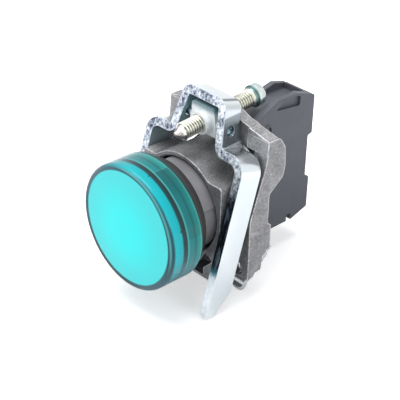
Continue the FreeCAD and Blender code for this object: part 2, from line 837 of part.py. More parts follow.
def wire_slots(z, outward):
    """Wire entries of one terminal, from its room outwards: two below, one beside the channel."""
    high = z + terminal_room_half + 8 if outward > 0 else z - 1
    low = z + 1 if outward > 0 else z - terminal_room_half - 8
    y = (head_seat - wire_slot_length, head_seat)
    inner = wire_slot_rib / 2
    reach = min(inner + wire_slot_width, terminal_room_half)
    right = box((inner, min(reach, channel_right)), y, (low, high))
    return [right] if outward > 0 else [right, box((-reach, -inner), y, (low, high))]


def bottom_notch():
    """Release notch on the underside of the light block."""
    rear = block_bottom_rear - 0.4
    return box(
        (block_half_width - cover_thickness - 1, block_half_width + 1),
        (rear - bottom_notch_width, rear), (block_bottom - 1, block_bottom + bottom_notch_height))


def block_cuts():
    cuts = [bottom_notch()] + driver_channel()
    for z, outward in ((terminal_top_z, 1), (terminal_bottom_z, -1)):
        cuts += terminal_room(z) + wire_slots(z, outward)
    return cuts


def block_housing():
    """Main shell of the light block, open towards its cover, with the hooks in front."""
    inner = block_half_width - cover_thickness
    shell = plate_yz(block_outline(), (-block_half_width, inner))
    snout = rod(snout_radius, (block_front - snout_length, block_front))
    hook_front = arm_rear - hook_point
    hook_rear = arm_rear - hook_end
    top = arm_underside - lever_gap
    hook_line = [
        (block_front, top), (hook_rear, top), (hook_rear, top + hook_catch),
        (hook_rear - hook_flat, top + hook_catch), (hook_front, top - 0.2),
        (hook_front, top - hook_thickness), (block_front, top - hook_thickness - 0.8),
    ]
    hooks = [plate_yz(hook_line, hook_span(side)) for side in (-1, 1)]
    foot = box(
        (foot_left, foot_left + foot_width), (frame_front + 0.7, block_front + 4),
        (block_bottom, block_bottom + foot_thickness))
    chamber = box(
        (-block_half_width + chamber_wall, inner + 1), (chamber_front, chamber_rear),
        (chamber_bottom, chamber_top))
    snout_bore = rod(snout_radius - snout_wall, (block_front - snout_length - 1, chamber_front + 0.1))
    strips = [box(
        (-terminal_room_half, terminal_room_half),
        (terminal_room_front - contact_strip_tail, terminal_room_front + 0.1),
        (low, high)) for low, high in strip_passages()]
    body = join(shell, snout, foot, *hooks)
    return cut(body, chamber, snout_bore, *strips, *block_cuts())


def strip_passages():
    """Heights between which each contact strip's tail runs from its room to the chamber."""
    upper = (chamber_top - strip_passage_reach, terminal_top_z + terminal_room_half - 1)
    lower = (terminal_bottom_z - terminal_room_half + 1, chamber_bottom + strip_passage_reach)
    return upper, lower


def block_cover():
    """Side cover of the light block, with a shallow recess and a round boss outside."""
    inner = block_half_width - cover_thickness
    plate = plate_yz(block_outline(), (inner, block_half_width))
    recess = plate_yz([
        (block_ridge_front - 0.6, block_ridge_height - 2.3, 0.2),
        (block_ridge_rear + 1.1, block_ridge_height - 3.3, 0.5),
        (block_ridge_rear + 1.1, block_ridge_height - 0.9, 0.4),
        (block_ridge_rear - 0.2, block_ridge_height - 0.6, 0.3),
        (block_ridge_front + 1.4, block_ridge_height - 1.0, 0.2),
    ], (block_half_width - side_recess_depth, block_half_width + 1))
    boss_place = Vector(block_half_width, block_front + side_boss_setback, side_boss_z)
    boss = Part.makeCylinder(side_boss_radius, side_boss_height, boss_place, AXIS_X)
    dimple = Part.makeCylinder(
        side_boss_radius - 0.4, side_boss_height + 1, boss_place - AXIS_X * 0.2, AXIS_X)
    return cut(join(plate, boss), recess, dimple, bottom_notch())


def terminal_screw(z):
    """Captive terminal screw with a slotted head."""
    seat = head_seat
    end = seat + terminal_head_height
    screw = turned([
        (0, seat - terminal_shank), (terminal_screw_radius - 0.4, seat - terminal_shank),
        (terminal_screw_radius, seat - terminal_shank + 0.4), (terminal_screw_radius, seat),
        (terminal_head_radius, seat), (terminal_head_radius, end, 0.4), (0, end),
    ])
    half = terminal_slot_width / 2
    reach = terminal_head_radius + 1
    slot = box((-reach, reach), (end - terminal_slot_depth, end + 1), (-half, half))
    body = cut(screw, slot)
    body.translate(Vector(0, 0, z))
    return body


def clamp_washer(z):
    """Square washer that goes with the terminal screw and presses on the wires."""
    half = terminal_room_half - running_gap
    y = (head_seat - clamp_washer_thickness, head_seat)
    plate = box((-half, half), y, (z - half, z + half))
    lips = [box((side - 0.4, side + 0.4), (y[0] - clamp_washer_lip, y[0] + 0.1), (z - half, z + half))
            for side in (-half + 0.4, half - 0.4)]
    hole = rod(terminal_screw_radius + thread_gap, (y[0] - 1, y[1] + 1), z=z)
    return cut(join(plate, *lips), hole)


def contact_strip(z, passage, towards):
    """Brass strip with the terminal's thread, and a tail that reaches the board."""
    half = terminal_room_half - thread_gap
    front = terminal_room_front + contact_strip_setback
    y = (front, front + contact_strip_thickness)
    plate = box((-half, half), y, (z - half, z + half))
    tail_edge = passage[0] + contact_strip_rim if towards < 0 else passage[1] - contact_strip_rim
    tail_z = sorted((tail_edge, z + towards * (half - contact_strip_side)))
    inside = terminal_room_front + thread_gap
    across = (half - contact_strip_side, half)
    side = box(across, (inside, front + contact_strip_thickness / 2), (z - half, z + half))
    tail = box(across, (terminal_room_front - contact_strip_tail + lever_gap, inside), tail_z)
    hole = rod(terminal_screw_radius + thread_gap, (front - 1, front + 2), z=z)
    return cut(join(plate, side, tail), hole)


def circuit_board():
    """Board on edge in the chamber, with a tongue into the snout that carries the lamp."""
    x = (board_x - board_thickness / 2, board_x + board_thickness / 2)
    low, high = chamber_bottom + lever_gap, chamber_top - lever_gap
    tongue = snout_radius - snout_wall - 1.2
    tongue_low = max(low, 0.6 - tongue)
    front = block_front - snout_length + 1.0
    return plate_yz([
        (chamber_front + lever_gap, low), (chamber_rear - lever_gap, low),
        (chamber_rear - lever_gap, high), (chamber_front + lever_gap, high),
        (chamber_front + lever_gap, tongue), (front, tongue), (front, tongue_low),
        (chamber_front + lever_gap, tongue_low),
    ], x)


def led_lamp():
    """Light-emitting diode, standing on the board's front edge."""
    base = block_front - snout_length + 1.0
    flange = rod(lamp_radius + lamp_rim, (base - lamp_flange_thickness, base))
    body = rod(lamp_radius, (base - lamp_length + lamp_radius, base - lamp_flange_thickness))
    dome = Part.makeSphere(lamp_radius, Vector(0, base - lamp_length + lamp_radius, 0))
    return join(flange, body, dome)


def lamp_cap():
    """Clear cap over the lamp, seated on the snout of the light block."""
    seat = block_front - snout_length
    front = seat - cap_length
    return turned([
        (0, front), (cap_radius, front, 1.4), (cap_radius, seat - cap_flange_thickness),
        (snout_radius - 1.1, seat - cap_flange_thickness), (snout_radius - 1.1, seat),
        (cap_radius - cap_wall, seat), (cap_radius - cap_wall, front + cap_wall, 0.8),
        (0, front + cap_wall),
    ])


def dropper_resistors():
    """Three series resistors in a row on the board."""
    x = board_x + board_thickness / 2 + resistor_radius + resistor_end_rim
    front = chamber_front + resistor_setback
    pieces = []
    for i in range(3):
        z = chamber_bottom + resistor_base + i * resistor_pitch
        body = rod(resistor_radius, (front, front + resistor_length), x=x, z=z)
        ends = [rod(resistor_radius + resistor_end_rim, (y, y + resistor_end_length), x=x, z=z)
                for y in (front, front + resistor_length - resistor_end_length)]
        pieces.append(join(body, *ends))
    return Part.makeCompound(pieces)


def bridge_rectifier():
    """Small rectifier in a moulded body with four leads."""
    x = board_x + board_thickness / 2
    y = rectifier_front
    z = chamber_bottom + component_base
    body = box((x, x + rectifier_height), (y, y + rectifier_size), (z, z + rectifier_size))
    leads = []
    for low in (y - 0.6, y + rectifier_size - 0.1):
        for height in (z + 0.4, z + rectifier_size - 0.9):
            leads.append(box((x, x + component_lead), (low, low + 0.7), (height, height + 0.5)))
    return join(body, *leads)


def smoothing_capacitor():
    """Film capacitor beside the rectifier."""
    x = board_x + board_thickness / 2 + capacitor_radius
    y = capacitor_front + capacitor_radius
    z = chamber_bottom + component_base
    can = Part.makeCylinder(capacitor_radius, capacitor_length, Vector(x, y, z), AXIS_Z)
    return round_edges(can, 0.3, lambda e: e.BoundBox.ZLength < 0.1 and e.Length > 3)


nodes = {
    "lens_cap": lens_cap(),
    "diffuser": diffuser(),
    "lens_seal": lens_seal(),
    "head_body": head_body(),
    "panel_gasket": panel_gasket(),
    "fixing_collar": collar(),
    "clamp_bracket": clamp_bracket(),
    "nut_plate": nut_plate(),
    "clamp_screw": clamp_screw(),
    "latch_lever": latch_lever(),
    "block_housing": block_housing(),
    "block_cover": block_cover(),
    "circuit_board": circuit_board(),
    "led_lamp": led_lamp(),
    "lamp_cap": lamp_cap(),
    "dropper_resistors": dropper_resistors(),
    "bridge_rectifier": bridge_rectifier(),
    "smoothing_capacitor": smoothing_capacitor(),
}
for (name, height), passage, towards in zip(room_centres, strip_passages(), (-1, 1)):
    nodes["terminal_screw_" + name] = terminal_screw(height)
    nodes["clamp_washer_" + name] = clamp_washer(height)
    nodes["contact_strip_" + name] = contact_strip(height, passage, towards)

os.makedirs("parts", exist_ok=True)
for name, shape in nodes.items():
    solids = shape.Solids
    print(name, len(solids), "valid" if shape.isValid() else "INVALID", round(shape.Volume, 2))
    shape.exportStep("parts/" + name + ".step")
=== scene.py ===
import math

import bmesh
import bpy
from mathutils import Matrix, Vector


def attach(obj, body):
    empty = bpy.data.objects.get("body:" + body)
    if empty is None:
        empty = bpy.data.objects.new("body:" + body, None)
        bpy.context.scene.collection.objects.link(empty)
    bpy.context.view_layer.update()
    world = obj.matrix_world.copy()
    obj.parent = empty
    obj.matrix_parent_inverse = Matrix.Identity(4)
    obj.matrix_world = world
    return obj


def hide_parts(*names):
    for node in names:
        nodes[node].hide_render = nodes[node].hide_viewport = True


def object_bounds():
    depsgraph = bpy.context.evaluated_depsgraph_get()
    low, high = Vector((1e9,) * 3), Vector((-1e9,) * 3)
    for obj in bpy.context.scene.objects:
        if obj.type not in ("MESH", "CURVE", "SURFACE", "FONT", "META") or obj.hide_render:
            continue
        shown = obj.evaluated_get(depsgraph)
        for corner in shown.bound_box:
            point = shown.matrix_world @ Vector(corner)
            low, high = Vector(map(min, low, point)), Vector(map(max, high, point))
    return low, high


# Looks of the panel pilot light: photograph view, studio, finishes and the fine parts that
# the solids leave out. Everything is in metres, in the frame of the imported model, unless a
# comment says otherwise. Sizes are given in millimetres by MM.

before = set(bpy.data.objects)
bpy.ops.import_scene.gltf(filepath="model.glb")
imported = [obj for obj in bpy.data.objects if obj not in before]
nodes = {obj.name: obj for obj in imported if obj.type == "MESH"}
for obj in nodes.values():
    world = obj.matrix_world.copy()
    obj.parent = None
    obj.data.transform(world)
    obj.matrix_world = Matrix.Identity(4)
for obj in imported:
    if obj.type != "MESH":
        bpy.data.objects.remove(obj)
cad_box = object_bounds()
MM = 0.001

# Photograph
camera_place = (0.16792, -0.15052, 0.13902)
camera_right = (0.68102797, 0.73193356, 0.02177521)
camera_up = (-0.39146896, 0.33878953, 0.85555462)
camera_back = (0.61883193, -0.59118095, 0.51725441)
camera_lens = 108.0
camera_sensor = 36.0

# Studio
floor_colour = (0.95, 0.95, 0.96)
floor_half_width = 1.5
floor_gap = 0.2 * MM
floor_lift = 0.45
floor_mirrored = 0.46
floor_mirrored_near = 0.04
floor_fade = (0.04, 0.16)
world_colour = (0.96, 0.98, 1.0)
world_strength = 0.40
lamps = (
    ("top_box", (-0.10, -0.02, 0.55), (0.50, 0.50), 2.6),
    ("right_box", (0.55, 0.05, 0.22), (0.45, 0.35), 0.9),
    ("front_box", (-0.25, -0.50, 0.20), (0.45, 0.35), 0.9),
)

# Edge finder: how far two normals differ at the start of an edge and along it
edge_start, edge_full = 0.006, 0.06
edge_samples = 6

# Finishes. Colours are as a screen shows them, from 0 to 255. Two colours are the ends of a
# mottle or fade, a colour with a number is a tint and its strength, and a row of places and
# colours is a ramp. A grain is its cycles a metre, then detail, roughness and stretch. Marks
# are the values of a grain between which something fades in. Relief is strength and depth,
# then the radius that sharp edges are rounded to.
black, white = (0, 0, 0), (255, 255, 255)

# Lens: depths behind its front and radii in millimetres, and turns in radians within the
# third that repeats
lens_front = -11.85 * MM
lens_length = 8.8
lens_bands = (
    (0.0, (28, 70, 80)), (0.06, (26, 88, 98)), (0.105, (20, 190, 200)), (0.325, (14, 178, 188)),
    (0.37, (24, 62, 66)), (0.48, (26, 50, 54)), (0.515, (74, 182, 182)), (0.55, (26, 134, 136)),
    (0.70, (22, 126, 128)), (0.745, (12, 98, 100)), (0.79, (24, 130, 130)), (0.90, (34, 152, 146)),
    (0.935, (70, 180, 168)), (0.955, (44, 76, 82)), (1.0, (40, 64, 70)))
lens_band_lean = 0.55
lens_band_waver = 0.25
lens_cloud = (240, 2)
lens_face = (52, 242, 243), (72, 224, 227)
lens_face_radius = (3.0, 13.0)
# The rounded edge takes the dark first side bands as painted shade, a narrower ring on the lit side
lens_rim_radius = (13.0, 13.4)
lens_rim_lean = 0.6
lens_slant = 0.707
lens_lit_side = (0.05, 0.8)
lens_far_side = (-0.7, -0.3)
# Painted reflection of the top lamp on the lens side, where it is neither on the lit nor on the far
# side
lens_painted_reflection = (64, 96, 108), (76, 128, 138)
lens_reflection_depth = (0.8, 2.2)
lens_skirt_end = 8.2
lens_mark_softness = 0.1
lens_lug_count = 3
lens_lug = (6, 80, 84)
# Each lug is tinted faintly, with extra painted shade towards one end of its third
lens_lug_faint, lens_lug_shade_strength = 0.3, 0.35
lens_lug_turn = (0.14, 1.29)
lens_lug_shade_turn = (0.6, 1.1)
lens_lug_softness = 0.01
lens_lug_top = 4.7
lens_seam = (110, 180, 178), 0.18
lens_seam_width = (0.006, 0.014)
lens_seam_top = 4.6
lens_notch = (36, 46, 48), 0.8
lens_notch_turns = (0.32, 1.27)
lens_notch_width = (0.008, 0.02)
lens_notch_depth = (2.7, 3.3)
# Painted highlight along the rounded edge on the lit side
lens_highlight = (110, 202, 206), 0.55
lens_highlight_radius = (14.05, 14.4)
lens_highlight_softness = 0.12
lens_highlight_side = (0.3, 0.8)
lens_highlight_depth = (0.5, 0.9)
lens_grip_depth = (4.8, 5.4)
lens_grip_rings = 520
lens_grip_height, lens_grain_height = 0.5, 0.05
lens_grain = 900
lens_relief = (0.12, 0.08 * MM)

# Rubber of the gasket and the seal
rubber_spots = (1400, 4)
rubber_front = (40, 33, 35), (66, 56, 58)
# The rear tones are painted shadow where the gasket meets the nozzle
rubber_rear_shadow = (14, 13, 15), (26, 24, 26)
rubber_step = (-1.4 * MM, -1.1 * MM)
rubber_grain = 2600
rubber_relief = (0.25, 0.04 * MM)

# Grey moulding of the head
head_spots = (500, 5)
head_grey = (126, 126, 130), (142, 141, 145)
# Sharp edges and steps of the head are painted dark as shade lines
head_edge_shade = (60, 58, 62), 0.6
head_edge = 0.3 * MM
head_grain = (3200, 2)
head_relief = (0.12, 0.03 * MM, 0.15 * MM)

# Zinc casting
zinc_grain = (2200, 5, 0.62)
zinc_cloud = (210, 4, 0.55)
zinc_grain_share, zinc_cloud_share = 0.6, 0.4
zinc_skin = (0.3, (104, 104, 106)), (0.5, (142, 142, 144)), (0.7, (178, 177, 179))
zinc_scratches = (1300, 2, 0.6, (1, 0.06, 0.4))
zinc_scratch_marks = (0.62, 0.70)
zinc_specks = (2600, 1)
zinc_speck_marks = (0.68, 0.72)
zinc_bright = (226, 226, 230)
zinc_scratch_strength, zinc_speck_strength = 0.22, 0.3
zinc_chips = (1500, 4, 0.7)
zinc_chip_marks = (0.36, 0.52)
zinc_edge = 0.45 * MM
# Bright chipped edges: partly wear, partly a painted highlight
zinc_wear_and_highlight = (232, 232, 236), 0.85
zinc_roughness, zinc_cloud_roughness, zinc_worn_roughness = 0.46, 0.16, -0.18
zinc_pits = 4200
zinc_grain_height, zinc_pit_height = 0.7, 0.3
zinc_relief = (0.4, 0.06 * MM, 0.2 * MM)

# Plate of the lever and the nut
plate_cloud = (160, 3, 0.55)
plate_cloud_marks = (0.3, 0.75)
plate_roughness, plate_cloud_roughness = 0.2, 0.12
plate_grain = 2400
plate_relief = (0.12, 0.04 * MM, 0.15 * MM)
lever_plate = (196, 200, 204), (228, 232, 235)
lever_metallic = 0.9
nut_plate = (240, 246, 248), (252, 254, 255)
nut_metallic = 0.0
nut_shade = (70, 118, 128), 0.85
nut_roof_heights = (20.8 * MM, 22.4 * MM)
nut_pin_start = (4.4 * MM, 4.6 * MM)
nut_pin_end = (40, 74, 84), (150, 178, 188)
nut_glints = (700, 2)
nut_glint_marks = (0.50, 0.60)

# Faces of the bracket strip: heights, distances from the middle, and how far a surface
# faces one way
bracket_tilt = math.radians(16.0)
strip_down = (0, -math.sin(bracket_tilt), -math.cos(bracket_tilt))
strip_rearward = (0, math.cos(bracket_tilt), -math.sin(bracket_tilt))
strip_cloud = (90, 2)
strip_cloud_marks = (0.35, 0.7)
strip_plate = (228, 236, 240), (242, 247, 249)
hump_line = 21.9 * MM
hump_line_softness = 0.3 * MM
shoulder_line = 15.8 * MM
# Painted reflections on the hump's upright walls, their lower part and the bends above them
wall_painted_reflection = (168, 176, 182), 0.5
wall_facing = (0.6, 0.9)
low_wall_painted_reflection = (106, 118, 124), 0.8
bend_painted_reflection = (92, 100, 106), 0.75
bend_facing = (0.2, 0.5, 0.07)
# Painted shade on the strip's inward faces, darker higher up under the roof
inner_painted_shade = (196, 212, 216), (120, 156, 164)
inner_heights = (6.0 * MM, 22.0 * MM)
inner_reach = (0.5 * MM, 3.0 * MM)
inner_metal_loss = 0.7
# Painted shade on the strip's undersides, darkest under the hump's roof
under_painted_shade = (24, 74, 84), (132, 152, 158)
under_shade_strength = 0.9
under_facing = (0.4, 0.8)
under_roof_ends = (6.2 * MM, 7.4 * MM)
strip_roughness, strip_cloud_roughness, torn_roughness = 0.2, 0.08, 0.2
strip_grain = 2400
strip_grain_height, torn_height = 0.15, 2.0
strip_relief = (0.3, 0.06 * MM, 0.15 * MM)

# Sheared edges of the bracket strip, and what its right leg mirrors
torn_facing = (0.8, 0.92)
torn_patches = (1500, 6, 0.7, (1, 1, 0.7))
torn_broad_patches = (260, 2)
torn_right_side = (3.0 * MM, 6.5 * MM)
torn_patch_share, torn_broad_share, torn_right_share = 0.7, 0.3, 0.025
torn_tones = (
    (0.42, (56, 62, 78)), (0.475, (112, 120, 134)), (0.54, (178, 186, 197)), (0.64, (240, 244, 248)))
burnished_edge = 0.5 * MM
burnished_tint = (176, 186, 196), 0.75
foot_tint = (238, 242, 246), 0.8
foot_heights = (-11.2 * MM, -9.6 * MM)
mirror_streaks = (1500, 3, 0.6, (1, 0.12, 0.12))
mirror_streak_marks = (0.52, 0.66)
mirror_dark = (24, 28, 44), (128, 152, 172)
mirror_teal = (70, 150, 162)
mirror_teal_heights = (-10.6 * MM, -8.0 * MM)
mirror_foot_heights = (-11.2 * MM, -9.2 * MM)
mirror_top_heights = (5.6 * MM, 8.6 * MM)
mirror_strength = 0.95

# Clamp screw: places along its axis from the pivot, radii and sizes
pivot = Vector((0, 11.315 * MM, 18.735 * MM))
screw_tilt = math.radians(4.3)
screw_tip = -9.35 * MM
screw_cone_end = -7.5 * MM
screw_seat = 13.85 * MM
screw_tip_flat = 0.45 * MM
screw_tip_radius = 0.6 * MM
screw_tip_edge = 0.12 * MM
screw_neck_radius = 2.3 * MM
screw_neck_length = 0.3 * MM
screw_head_radius = 2.65 * MM
screw_head_height = 2.4 * MM
screw_head_chamfer = 0.12 * MM
screw_head_edge = 0.7 * MM
screw_head_edge_steps = 5
screw_around = 64
recess_width = 0.9 * MM
recess_length = 3.4 * MM
recess_depth = 1.4 * MM
thread_pitch = 0.7 * MM
thread_crest = 2.0 * MM
thread_root = 1.62 * MM
thread_foot = 1.55 * MM
thread_from_cone = 0.3 * MM
thread_from_seat = 1.2 * MM
thread_rise, thread_flat, thread_fall = 0.36, 0.52, 0.88
thread_steps = 24
core_from_cone = 0.2 * MM
join_distance = 1e-7
sliver_width = 2e-6
smooth_angle = math.radians(35)

# Finish of the clamp screw
screw_cloud = (500, 3, 0.6)
screw_cloud_marks = (0.35, 0.65)
screw_head = (196, 208, 208), (232, 238, 236)
screw_shade = (104, 146, 144), 0.8
screw_shade_before, screw_shade_behind = 0.6 * MM, 0.3 * MM
screw_shade_softness = 0.15 * MM
# Painted shade in the thread's roots, then the crest colour
thread_shaded_root_and_crest = (128, 130, 116), (240, 239, 229)
thread_bright_radius = 1.9 * MM
point_tones = (138, 134, 136), (238, 233, 226)
# Dark and light grey streaks along the point
point_streaks = (700, 3, 0.6, (1, 0.25, 1))
point_streak_marks = (0.40, 0.58)
screw_roughness, screw_cloud_roughness = 0.24, 0.14
screw_grain = 2400
screw_relief = (0.15, 0.04 * MM)

# Plastic of the light block
block_cloud = 300
block_upper = (80, 83, 91), (92, 95, 103)
# The lower tones are painted shade, darker towards the bottom
block_shaded_lower = (62, 65, 74), (74, 77, 86)
block_heights = (-16.0 * MM, 14.0 * MM)
block_grain = (5200, 2)
block_relief = (0.3, 0.03 * MM, 0.3 * MM)

# Small inner parts: finish, its two tones, roughness, metallic, spots a metre, and nodes
small_parts = (
    ("diffuser_milky", ((196, 236, 234), (210, 244, 242)), 0.5, 0.0, 200, "diffuser"),
    ("board_green", ((20, 92, 52), (28, 110, 64)), 0.4, 0.0, 300, "circuit_board"),
    ("lamp_clear", ((196, 232, 222), (214, 240, 234)), 0.12, 0.0, 300, "led_lamp"),
    ("cap_clear", ((205, 218, 218), (222, 230, 230)), 0.25, 0.0, 300, "lamp_cap"),
    ("resistor_lacquer", ((198, 172, 128), (186, 158, 112)), 0.45, 0.0, 800, "dropper_resistors"),
    ("chip_black", ((30, 30, 32), (42, 42, 44)), 0.55, 0.0, 900, "bridge_rectifier"),
    ("capacitor_film", ((176, 110, 40), (196, 128, 52)), 0.25, 0.0, 400, "smoothing_capacitor"),
    ("terminal_zinc", ((206, 202, 190), (180, 176, 164)), 0.32, 1.0, 900,
     "terminal_screw_upper", "terminal_screw_lower"),
    ("washer_nickel", ((190, 190, 190), (170, 170, 172)), 0.35, 1.0, 900,
     "clamp_washer_upper", "clamp_washer_lower"),
    ("strip_brass", ((206, 176, 104), (188, 156, 86)), 0.35, 1.0, 700,
     "contact_strip_upper", "contact_strip_lower"),
)
small_spot_detail = 4
small_grain_ratio, small_grain_detail = 5, 2
small_relief = (0.2, 0.03 * MM)

# Sockets of the colour Mix node, which only their numbers tell apart
mix_factor, mix_first, mix_second, mix_result = 0, 6, 7, 2


class Socket:
    """A shader socket that can be used in Python expressions."""

    def __init__(self, tree, socket):
        self.tree = tree
        self.socket = socket

    def _math(self, operation, first, second=0.0):
        return self.tree.add("ShaderNodeMath", {"operation": operation}, {0: first, 1: second})

    def __add__(self, other):
        return self._math("ADD", self, other)

    def __radd__(self, other):
        return self._math("ADD", other, self)

    def __sub__(self, other):
        return self._math("SUBTRACT", self, other)

    def __rsub__(self, other):
        return self._math("SUBTRACT", other, self)

    def __mul__(self, other):
        return self._math("MULTIPLY", self, other)

    def __rmul__(self, other):
        return self._math("MULTIPLY", other, self)

    def __truediv__(self, other):
        return self._math("DIVIDE", self, other)

    def __pow__(self, other):
        return self._math("POWER", self, other)

    def above(self, edge):
        return self._math("GREATER_THAN", self, edge)

    def most(self, other):
        return self._math("MAXIMUM", self, other)

    def size(self):
        return self._math("ABSOLUTE", self)

    def angle(self, other):
        """Angle of the point (other, self), from -pi to pi."""
        return self._math("ARCTAN2", self, other)

    def between(self, low, high, soft):
        """1 between two values with soft ends, 0 outside."""
        return self.fade(low - soft, low + soft) * (1 - self.fade(high - soft, high + soft))

    def repeated(self, period):
        """The value within one period, from 0."""
        settings = {"operation": "WRAP"}
        return self.tree.add("ShaderNodeMath", settings, {0: self, 1: period, 2: 0.0})

    def fade(self, low, high):
        """0 below low, 1 above high and a smooth rise between them."""
        settings = {"interpolation_type": "SMOOTHSTEP"}
        return self.tree.add(
            "ShaderNodeMapRange", settings, {"Value": self, "From Min": low, "From Max": high})


class Tree:
    """The nodes of a material or of the world."""

    def __init__(self, owner):
        owner.use_nodes = True
        self.nodes = owner.node_tree.nodes
        self.links = owner.node_tree.links

    def add(self, kind, settings, inputs, *outputs):
        """Add one node with its settings, then its inputs as values or links."""
        node = self.nodes.new(kind)
        for name, value in settings.items():
            if name == "stops":
                set_stops(node.color_ramp, value)
            else:
                setattr(node, name, value)
        for name, value in inputs.items():
            if isinstance(value, Socket):
                self.links.new(value.socket, node.inputs[name])
            else:
                node.inputs[name].default_value = value
        sockets = [Socket(self, node.outputs[name]) for name in outputs or [0]]
        return sockets if len(sockets) > 1 else sockets[0]


class Finish(Tree):
    """A procedural material on Object coordinates."""

    def __init__(self, name, **shader):
        self.material = bpy.data.materials.new(name)
        super().__init__(self.material)
        self.shader = self.nodes["Principled BSDF"]
        for socket, value in shader.items():
            self.shader.inputs[socket.replace("_", " ")].default_value = value
        self.place = self.add("ShaderNodeTexCoord", {}, {}, "Object")

    def measure_from(self, point, tilt):
        """Measure from a point, with Y along an axis that is tilted up by an angle."""
        location = -(Matrix.Rotation(-tilt, 3, "X") @ point)
        inputs = {"Vector": self.place, "Rotation": (-tilt, 0, 0), "Location": tuple(location)}
        self.place = self.add("ShaderNodeMapping", {}, inputs)

    def noise(self, scale, detail=3.0, roughness=0.5, stretch=(1, 1, 1)):
        """Cloudy value round 0.5, with a scale in cycles a metre."""
        place = self.place
        if stretch != (1, 1, 1):
            place = self.add("ShaderNodeMapping", {}, {"Vector": self.place, "Scale": stretch})
        inputs = {"Vector": place, "Scale": scale, "Detail": detail, "Roughness": roughness}
        return self.add("ShaderNodeTexNoise", {}, inputs, "Fac")

    def axes(self, names):
        """The named coordinates as separate values."""
        return self.add("ShaderNodeSeparateXYZ", {}, {"Vector": self.place}, *names)

    def agreement(self, first, second):
        """Cosine of the angle between two directions."""
        inputs = {0: first, 1: second}
        return self.add("ShaderNodeVectorMath", {"operation": "DOT_PRODUCT"}, inputs, "Value")

    def facing(self, direction):
        """How far the surface faces along a direction fixed to the object, from -1 to 1."""
        return self.agreement(self.add("ShaderNodeTexCoord", {}, {}, "Normal"), direction)

    def mix(self, factor, first, second):
        """Blend of two colours by a factor."""
        first, second = [
            colour if isinstance(colour, Socket) else linear(colour) for colour in (first, second)]
        inputs = {mix_factor: factor, mix_first: first, mix_second: second}
        return self.add("ShaderNodeMix", {"data_type": "RGBA"}, inputs, mix_result)

    def tint(self, base, mask, colour, strength):
        """Colour that turns to another where a mask is 1, by a strength."""
        return self.mix(mask * strength, base, colour)

    def ramp(self, factor, stops):
        """Colour that a value has on a ramp."""
        return self.add("ShaderNodeValToRGB", {"stops": stops}, {"Fac": factor}, "Color")

    def set(self, name, value):
        """Let a value or colour drive one socket of the shader."""
        self.links.new(value.socket, self.shader.inputs[name])

    def rounded(self, radius):
        """Surface normal with every sharp edge rounded off by a radius."""
        return self.add("ShaderNodeBevel", {"samples": edge_samples}, {"Radius": radius})

    def edges(self, radius):
        """1 along sharp edges, 0 on open faces."""
        flat = self.add("ShaderNodeNewGeometry", {}, {}, "True Normal")
        return (1 - self.agreement(self.rounded(radius), flat)).fade(edge_start, edge_full)

    def bump(self, height, strength, distance, edge=0.0):
        """Relief from a height, on edges rounded off by a radius if one is given."""
        inputs = {"Height": height, "Strength": strength, "Distance": distance}
        if edge:
            inputs["Normal"] = self.rounded(edge)
        self.set("Normal", self.add("ShaderNodeBump", {}, inputs))

    def dress(self, *names):
        """Give this finish to the named CAD nodes."""
        for name in names:
            slots = nodes[name].data.materials
            slots.clear()
            slots.append(self.material)


def linear(colour):
    """Linear colour with alpha, by the sRGB curve, from values as a screen shows them."""
    def one(value):
        value /= 255.0
        return value / 12.92 if value <= 0.04045 else ((value + 0.055) / 1.055) ** 2.4
    return (*[one(value) for value in colour], 1.0)


def set_stops(ramp, stops):
    """Give a colour ramp its places and colours."""
    while len(ramp.elements) < len(stops):
        ramp.elements.new(0.5)
    for element, (position, colour) in zip(ramp.elements, stops):
        element.position = position
        element.color = linear(colour)


def set_camera():
    """Camera at the photograph's place, turned as the photograph was taken."""
    camera = bpy.data.objects.new("photo_camera", bpy.data.cameras.new("photo_camera"))
    camera.data.lens = camera_lens
    camera.data.sensor_width = camera_sensor
    turn = Matrix((camera_right, camera_up, camera_back)).transposed().to_4x4()
    camera.matrix_world = Matrix.Translation(camera_place) @ turn
    bpy.context.scene.collection.objects.link(camera)
    bpy.context.scene.camera = camera


def set_floor():
    """Wide sheet just under the object."""
    shape = bmesh.new()
    bmesh.ops.create_grid(shape, x_segments=1, y_segments=1, size=floor_half_width)
    low = cad_box[0][2]
    bmesh.ops.translate(shape, verts=shape.verts, vec=(0, 0, low - floor_gap))
    floor = new_object("floor", shape)
    floor.data.materials.append(floor_paper())


def floor_paper():
    """Paper that keeps the object's shadow and turns white away from it where it is looked at."""
    finish = Finish(
        "floor_paper", Base_Color=(*floor_colour, 1), Roughness=0.9, Emission_Strength=1.0)
    looked_at, mirrored = finish.add(
        "ShaderNodeLightPath", {}, {}, "Is Camera Ray", "Is Glossy Ray")
    x, y = finish.axes("XY")
    away = ((x * x + y * y) ** 0.5).fade(*floor_fade)
    seen = looked_at * (floor_lift + away * (1 - floor_lift))
    glow = seen + mirrored * (floor_mirrored_near + away * floor_mirrored)
    finish.set("Emission Color", finish.mix(glow, black, white))
    return finish.material


def set_world():
    """A plain world that is white where it is looked at or mirrored."""
    world = bpy.data.worlds.new("studio")
    tree = Tree(world)
    plain = tree.nodes["Background"]
    plain.inputs["Color"].default_value = (*world_colour, 1)
    plain.inputs["Strength"].default_value = world_strength
    bright = tree.add("ShaderNodeBackground", {}, {"Color": linear(white)})
    looked_at, mirrored = tree.add(
        "ShaderNodeLightPath", {}, {}, "Is Camera Ray", "Is Glossy Ray")
    inputs = {0: looked_at.most(mirrored), 1: Socket(tree, plain.outputs[0]), 2: bright}
    blend = tree.add("ShaderNodeMixShader", {}, inputs)
    tree.links.new(blend.socket, tree.nodes["World Output"].inputs["Surface"])
    bpy.context.scene.world = world


